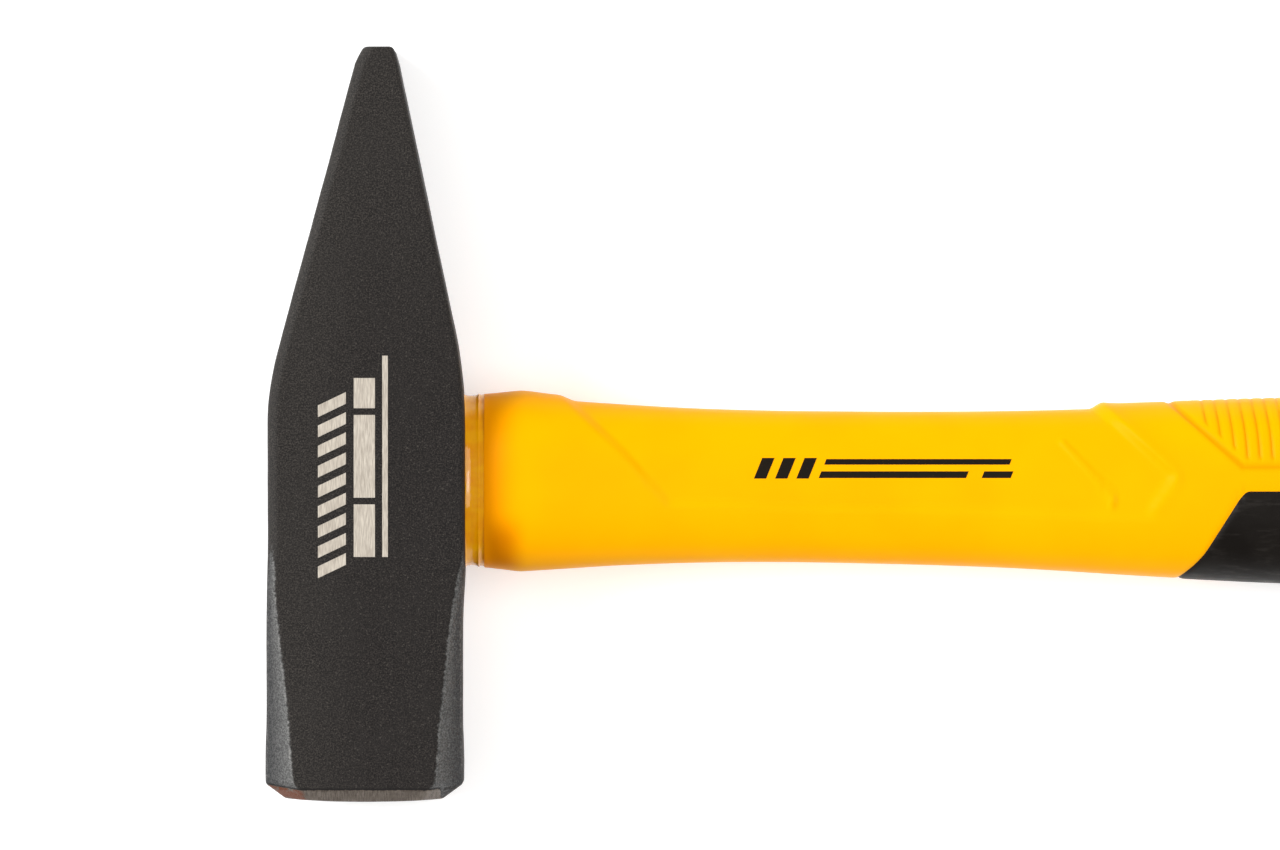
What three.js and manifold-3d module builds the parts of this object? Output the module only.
// Engineer's cross-peen hammer, 1 kg class, lying on one cheek of its head.
// Millimetres. +X runs along the handle to the butt, +Y points to the peen (the striking face looks along -Y)
// and +Z is up out of the upper cheek. The origin is on the lower cheek, under the middle of the eye.

import * as THREE from 'three';
import { mergeVertices } from 'three/addons/utils/BufferGeometryUtils.js';
import Module from 'manifold-3d';

const wasm = await Module();
wasm.setup();

// Head
const HEAD_THICKNESS = 35.4;        // cheek to cheek
const HEAD_HALF_WIDTH = 17.6;       // along the handle, at the eye
const FACE_Y = -57.5;               // middle of the striking face
const PEEN_Y = 77.5;                // tip of the peen, so the head is 135 long
const FACE_FLAT = 5;                // half width of the flat middle of the face
const CROWN_RADIUS = 142;
const BEVEL = { width: 3.6, height: 2.6 };
const CHAMFER = { startY: -10, depth: 5.1, power: 0.85 };
const EDGE = 1;                     // broken edge of the peen half
const PEEN = {
  left: { bendFrom: 10, bendTo: 23, slope: 0.269 },
  right: { bendFrom: 3, bendTo: 30, slope: 0.2045 },
  tipStart: 76.6,
  tipCut: 0.85,
};

// Eye and what sits in it; half sizes are along Y and Z
const EYE = { waistY: 13.2, waistZ: 9.6, flareY: 0.9, flareZ: 0.8 };
const CORE = { from: -16.8, to: 310, halfY: 7.5, halfZ: 5 };
const TANG = { from: -6, tipY: 11, tipZ: 7.6, rootY: 12.2, rootZ: 8.8 };
const RESIN = { from: -16.8, to: 17.2 };
const COLLAR = { from: 17.9, to: 21, halfY: 15, halfZ: 11.6, lip: 0.5, lipFrom: 20 };
const GAP = 0.3;                    // between neighbouring pieces

// Handle: outline at hand-picked stations, joined by smooth curves
const HANDLE = { from: 21.3, to: 342, endRound: 7, squareness: 2.7, sides: 36 };
const TOP = [
  [21.3, 15.2], [27.5, 16.05], [34, 15.6], [44, 14.6], [60, 13.6], [80, 13.2], [113, 13.2],
  [143, 14], [165, 14.8], [200, 15.4], [240, 14.6], [275, 13.8], [300, 14.3], [326, 16.2], [342, 15.4],
];
const BOTTOM = [
  [21.3, -15.4], [27.5, -16], [34, -15.8], [46, -14.9], [62, -14.4], [80, -14.4], [113, -15.3],
  [143, -17.1], [165, -18.4], [200, -19.4], [240, -18.3], [275, -17], [300, -17.8], [326, -20.8], [342, -20],
];
const HALF_THICKNESS = [
  [21.3, 11.9], [27.5, 13.2], [36, 12.9], [60, 11.4], [90, 10.9], [120, 11.5], [145, 12.9],
  [180, 14], [220, 14.2], [270, 13.1], [305, 13.4], [328, 14.4], [342, 14],
];
const NECK_PANEL = { depth: 0.9, lowerY: -4.2, frontTopX: 35.5, frontLowX: 54.3, rearTopX: 130, rearLowX: 147 };
const THUMB_REST = { frontX: 144.1, rearX: 208, lowerY: 2.4, slant: 13, depth: 0.45, border: 0.9, margin: 1.2 };
const RIB = { pitch: 2.24, groove: 0.6, lean: 1.6, leanOver: 10.1 };
const GRIP = {
  frontX: 145.8, shoulderX: 158, splitY: -1.9, buttFrom: 284, buttTopX: 304, wall: 2.6, endWall: 6,
};
const HANG_HOLE = { x: 326, y: -2.2, radius: 4.5, sleeve: 7 };

const STEEL = { color: 0x383430, roughness: 0.62, metalness: 0.75 };
const YELLOW = { color: 0xffb900, roughness: 0.32, metalness: 0 };
const BLACK = { color: 0x26231f, roughness: 0.72, metalness: 0 };
const FIBREGLASS = { color: 0xd9cf9f, roughness: 0.5, metalness: 0 };
const RESIN_AMBER = { color: 0x9a6a1c, roughness: 0.3, metalness: 0 };
const CLEAR_AMBER = { color: 0xe0962a, roughness: 0.18, metalness: 0 };

// Solids

function toSolid(geometry) {
  const bare = geometry.clone();
  bare.deleteAttribute('normal');
  bare.deleteAttribute('uv');
  const merged = mergeVertices(bare, 1e-4);
  return new wasm.Manifold(new wasm.Mesh({
    numProp: 3,
    vertProperties: new Float32Array(merged.attributes.position.array),
    triVerts: new Uint32Array(merged.index.array),
  }));
}

function toGeometry(solid) {
  const { vertProperties, triVerts } = solid.getMesh();
  const geometry = new THREE.BufferGeometry();
  geometry.setAttribute('position', new THREE.BufferAttribute(new Float32Array(vertProperties), 3));
  geometry.setIndex(new THREE.BufferAttribute(new Uint32Array(triVerts), 1));
  geometry.computeVertexNormals();
  return geometry;
}

// A closed loft through rings of equal length, each ring counter-clockwise about the direction of the loft.
function loft(rings) {
  const sides = rings[0].length;
  const geometry = new THREE.CylinderGeometry(1, 1, 1, sides, rings.length - 1);
  const position = geometry.attributes.position;
  for (let i = 0; i < position.count; i += 1) {
    const [x, y, z] = [position.getX(i), position.getY(i), position.getZ(i)];
    const ring = rings[Math.round((y + 0.5) * (rings.length - 1))];
    const turn = Math.atan2(x, z) / (2 * Math.PI);
    const point = Math.hypot(x, z) < 0.5
      ? middle(ring)
      : ring[Math.round((turn + 1) * sides) % sides];
    position.setXYZ(i, point.x, point.y, point.z);
  }
  return toSolid(geometry);
}

function middle(ring) {
  const sum = ring.reduce((total, point) => total.add(point), new THREE.Vector3());
  return sum.divideScalar(ring.length);
}

// A flat outline in X and Y, standing through the whole thickness of the hammer.
function prism(points) {
  const depth = 2 * HEAD_THICKNESS;
  const shape = new THREE.Shape(points.map(([x, y]) => new THREE.Vector2(x, y)));
  const geometry = new THREE.ExtrudeGeometry(shape, { depth, bevelEnabled: false });
  return toSolid(geometry.translate(0, 0, -depth / 2));
}

// An upright cylinder through the handle.
function post(x, y, radius) {
  const geometry = new THREE.CylinderGeometry(radius, radius, 2 * HEAD_THICKNESS, 32);
  return toSolid(geometry.rotateX(Math.PI / 2).translate(x, y, 0));
}

// Curves

// Smooth curve through [x, value] points, as a function of x.
function curveThrough(points) {
  const slopes = points.map((point, i) => {
    const [x0, v0] = points[Math.max(i - 1, 0)];
    const [x1, v1] = points[Math.min(i + 1, points.length - 1)];
    return (v1 - v0) / (x1 - x0);
  });
  return (x) => {
    const i = Math.max(points.findIndex(([end]) => end >= x), 1) - 1;
    const [x0, v0] = points[i];
    const [x1, v1] = points[i + 1];
    const span = x1 - x0;
    const t = (x - x0) / span;
    const a = 2 * t ** 3 - 3 * t ** 2 + 1;
    const b = t ** 3 - 2 * t ** 2 + t;
    const c = t ** 3 - t ** 2;
    return a * v0 + (1 - a) * v1 + span * (b * slopes[i] + c * slopes[i + 1]);
  };
}

// How far a flank has moved in at y: straight, then a bend, then a straight slope.
function taper(y, { bendFrom, bendTo, slope }) {
  const bend = bendTo - bendFrom;
  const inBend = THREE.MathUtils.clamp(y - bendFrom, 0, bend);
  return slope * (inBend ** 2 / (2 * bend) + Math.max(y - bendTo, 0));
}

// An oval ring around the handle's line. Squareness 2 is an ellipse, more is squarer.
function ovalRing(x, halfY, halfZ, squareness = 2, middleY = 0, sides = HANDLE.sides) {
  const power = 2 / squareness;
  return Array.from({ length: sides }, (_, i) => {
    const angle = (2 * Math.PI * i) / sides;
    const [c, s] = [Math.cos(angle), Math.sin(angle)];
    const y = middleY + halfY * Math.sign(c) * Math.abs(c) ** power;
    return new THREE.Vector3(x, y, halfZ * Math.sign(s) * Math.abs(s) ** power);
  });
}

// Head

// One section of the head: a rectangle from x = left to right with its corners cut, drawn in by inset.
function headRing(y, left, right, cut, inset = 0) {
  const cutNow = cut - (2 - Math.SQRT2) * inset;
  const halfZ = HEAD_THICKNESS / 2 - inset;
  const bulge = y > CHAMFER.startY ? 0.2 * cutNow : 0;
  const ring = [];
  for (const [signX, signZ] of [[1, 1], [1, -1], [-1, -1], [-1, 1]]) {
    const x = signX > 0 ? right - inset : left + inset;
    const along = new THREE.Vector3(x - signX * cutNow, y, signZ * halfZ);
    const across = new THREE.Vector3(x, y, signZ * (halfZ - cutNow));
    const corner = along.clone().add(across).divideScalar(2);
    corner.add(new THREE.Vector3(signX * bulge, 0, signZ * bulge));
    ring.push(...(signX * signZ > 0 ? [along, corner, across] : [across, corner, along]));
  }
  return ring;
}

function cutAt(y) {
  const run = Math.max((CHAMFER.startY - y) / (CHAMFER.startY - FACE_Y - BEVEL.height), 0);
  return Math.max(EDGE, CHAMFER.depth * run ** CHAMFER.power);
}

function headRings() {
  const half = HEAD_HALF_WIDTH;
  const crown = (w) => FACE_Y + (w ** 2 - FACE_FLAT ** 2) / (2 * CROWN_RADIUS);
  const crownEdge = half - BEVEL.width;
  const faceCut = cutAt(FACE_Y + BEVEL.height);
  const rings = [FACE_FLAT, 10, crownEdge].map((w) => {
    const inset = half - w;
    const cut = Math.max(faceCut, (2 - Math.SQRT2) * inset + 0.4 * w * (2 - Math.SQRT2));
    return headRing(crown(w), -half, half, cut, inset);
  });
  const bodyFrom = crown(crownEdge) + BEVEL.height;
  const stations = [bodyFrom, -47, -39, -31, -24, -18, -13, -10, 3, 8, 12, 16, 20, 24, 30, 45, 60, PEEN.tipStart];
  for (const y of stations) {
    rings.push(headRing(y, -half + taper(y, PEEN.left), half - taper(y, PEEN.right), cutAt(y)));
  }
  const [tipLeft, tipRight] = [taper(PEEN_Y, PEEN.left) - half, half - taper(PEEN_Y, PEEN.right)];
  rings.push(headRing(PEEN_Y, tipLeft, tipRight, EDGE, PEEN.tipCut));
  return rings;
}

// The eye, narrowest in the middle, drawn in by inset.
function eye(from, to, inset = 0) {
  const reach = HEAD_HALF_WIDTH;
  const xs = [from, -12, -6, 0, 6, 12, to];
  return loft(xs.map((x) => {
    const flare = Math.min(Math.abs(x) / reach, 1) ** 2;
    const halfY = EYE.waistY + EYE.flareY * flare - inset;
    return ovalRing(x, halfY, EYE.waistZ + EYE.flareZ * flare - inset);
  }));
}

function head() {
  const through = HEAD_HALF_WIDTH + 2;
  return loft(headRings()).subtract(eye(-through, through));
}

// Handle

function core(grow = 0) {
  const [halfY, halfZ] = [CORE.halfY + grow, CORE.halfZ + grow];
  return loft([CORE.from - grow, CORE.to + grow].map((x) => ovalRing(x, halfY, halfZ, 2.6, 0, 28)));
}

function tang(grow = 0, from = TANG.from - grow, to = HANDLE.from + 4) {
  const rings = [from, TANG.from + 3, HANDLE.from - 1, to].map((x) => {
    const t = THREE.MathUtils.clamp((x - TANG.from) / (HANDLE.from - TANG.from), 0, 1);
    const halfY = THREE.MathUtils.lerp(TANG.tipY, TANG.rootY, t) + grow;
    return ovalRing(x, halfY, THREE.MathUtils.lerp(TANG.tipZ, TANG.rootZ, t) + grow, 2.3);
  });
  return loft(rings);
}

const topAt = curveThrough(TOP);
const bottomAt = curveThrough(BOTTOM);
const halfThicknessAt = curveThrough(HALF_THICKNESS);

function handleRing(x, inset, squeeze) {
  const [top, bottom] = [topAt(x) - inset, bottomAt(x) + inset];
  const halfY = squeeze * (top - bottom) / 2;
  const halfZ = squeeze * (halfThicknessAt(x) - inset);
  return ovalRing(x, halfY, halfZ, HANDLE.squareness, (top + bottom) / 2);
}

// The outside of the whole handle, drawn in by inset all round and ending at `to` with a rounded end.
function handleBody(inset = 0, to = HANDLE.to, from = HANDLE.from) {
  const round = HANDLE.endRound;
  const endFrom = to - round;
  const count = 26;
  const rings = [from, from + 2, from + 6];
  for (let i = 1; i <= count; i += 1) {
    rings.push(from + 6 + ((endFrom - from - 6) * i) / count);
  }
  const body = rings.map((x) => handleRing(x, inset, x === HANDLE.from ? 0.965 : 1));
  for (const angle of [30, 55, 75, 90]) {
    const turn = THREE.MathUtils.degToRad(angle);
    const squeeze = 1 - (round / 15) * (1 - Math.cos(turn));
    body.push(handleRing(endFrom + round * Math.sin(turn), inset, squeeze));
  }
  return loft(body);
}

// Shallow panel sunk into the neck's upper part on both sides, behind the block next to the head.
function neckPanel() {
  const { depth, lowerY, frontTopX, frontLowX, rearTopX, rearLowX } = NECK_PANEL;
  const outline = prism([
    [frontTopX, 30], [frontTopX, 15.6], [frontLowX, lowerY], [rearLowX - 6, lowerY], [rearLowX, 0],
    [rearTopX, 14.2], [rearTopX, 30],
  ]);
  return outline.subtract(handleBody(depth, HANDLE.to - depth, HANDLE.from + 2));
}

// The thumb rest's outline on the side of the handle, drawn in by inset and open over the top.
function thumbRestArea(inset = 0) {
  const { frontX, rearX, lowerY, slant } = THUMB_REST;
  const [sideways, low] = [1.5 * inset, lowerY + inset];
  return prism([
    [frontX - slant / 2 + sideways, 20], [frontX + slant + sideways, low],
    [rearX - slant - sideways, low], [rearX + slant / 2 - sideways, 20],
  ]);
}

// Grooves between the ribs: lines across the top of the handle that bow back down both sides.
function ribGrooves() {
  const { frontX, rearX, lowerY } = THUMB_REST;
  const lineX = (foot, y) => foot - RIB.lean * ((y - lowerY) / RIB.leanOver) ** 2;
  const heights = [lowerY, 9, 18];
  const strips = [];
  for (let foot = frontX + 3 * RIB.pitch; foot < rearX; foot += RIB.pitch) {
    const side = (offset) => heights.map((y) => [lineX(foot, y) + offset, y]);
    strips.push(prism([...side(RIB.groove / 2), ...side(-RIB.groove / 2).reverse()]));
  }
  return strips.reduce((all, strip) => all.add(strip));
}

// Everything cut to make the thumb rest: the groove around it and the grooves between its ribs.
function thumbRestCut() {
  const { border, margin, depth } = THUMB_REST;
  const frame = thumbRestArea(-border / 2).subtract(thumbRestArea(border / 2));
  const grooves = ribGrooves().intersect(thumbRestArea(border / 2 + margin));
  return frame.add(grooves).subtract(handleBody(depth, HANDLE.to - depth, HANDLE.from + 2));
}

// The area the black grip covers, grown by `grow` on its open edges.
function gripArea(grow = 0) {
  const { frontX, shoulderX, splitY, buttFrom, buttTopX } = GRIP;
  const split = splitY + grow;
  return prism([
    [frontX - grow, -40], [frontX - grow, -17.3], [frontX + 4.8 - grow, -12.3], [shoulderX - 1.5 - grow, split - 1.2],
    [shoulderX, split], [buttFrom - grow, split], [buttTopX - grow, 14], [buttTopX - grow, 40], [360, 40], [360, -40],
  ]);
}

function jacket() {
  const under = handleBody(GRIP.wall + GAP, HANDLE.to - GRIP.endWall, HANDLE.from + 2);
  return handleBody()
    .subtract(gripArea(GAP))
    .add(under)
    .add(tang())
    .subtract(neckPanel())
    .subtract(thumbRestCut())
    .subtract(core(GAP))
    .subtract(post(HANG_HOLE.x, HANG_HOLE.y, HANG_HOLE.sleeve + GAP));
}

function grip() {
  const under = handleBody(GRIP.wall, HANDLE.to - GRIP.endWall + GAP, HANDLE.from + 2);
  const sleeve = post(HANG_HOLE.x, HANG_HOLE.y, HANG_HOLE.sleeve).intersect(handleBody());
  return handleBody()
    .intersect(gripArea())
    .subtract(under)
    .add(sleeve)
    .subtract(post(HANG_HOLE.x, HANG_HOLE.y, HANG_HOLE.radius));
}

function eyeResin() {
  return eye(RESIN.from, RESIN.to, GAP)
    .subtract(tang(GAP))
    .subtract(core(GAP));
}

function eyeCollar() {
  const { from, to, halfY, halfZ, lip, lipFrom } = COLLAR;
  const steps = [[from, -0.3], [from + 0.4, 0], [lipFrom - 0.1, 0], [lipFrom + 0.1, lip], [to - 0.2, lip], [to, 0.1]];
  const outside = loft(steps.map(([x, grow]) => ovalRing(x, halfY + grow, halfZ + grow, 2.3)));
  return outside.subtract(tang(GAP, from - 2, to + 2));
}

// Assembly

const hammer = new THREE.Group();
hammer.position.z = HEAD_THICKNESS / 2;

function addPiece(name, solid, finish) {
  const piece = new THREE.Mesh(toGeometry(solid), new THREE.MeshStandardMaterial(finish));
  piece.name = name;
  hammer.add(piece);
}

addPiece('head', head(), STEEL);
addPiece('handle_core', core(), FIBREGLASS);
addPiece('handle_jacket', jacket(), YELLOW);
addPiece('soft_grip', grip(), BLACK);
addPiece('eye_resin', eyeResin(), RESIN_AMBER);
addPiece('eye_collar', eyeCollar(), CLEAR_AMBER);

export default hammer;
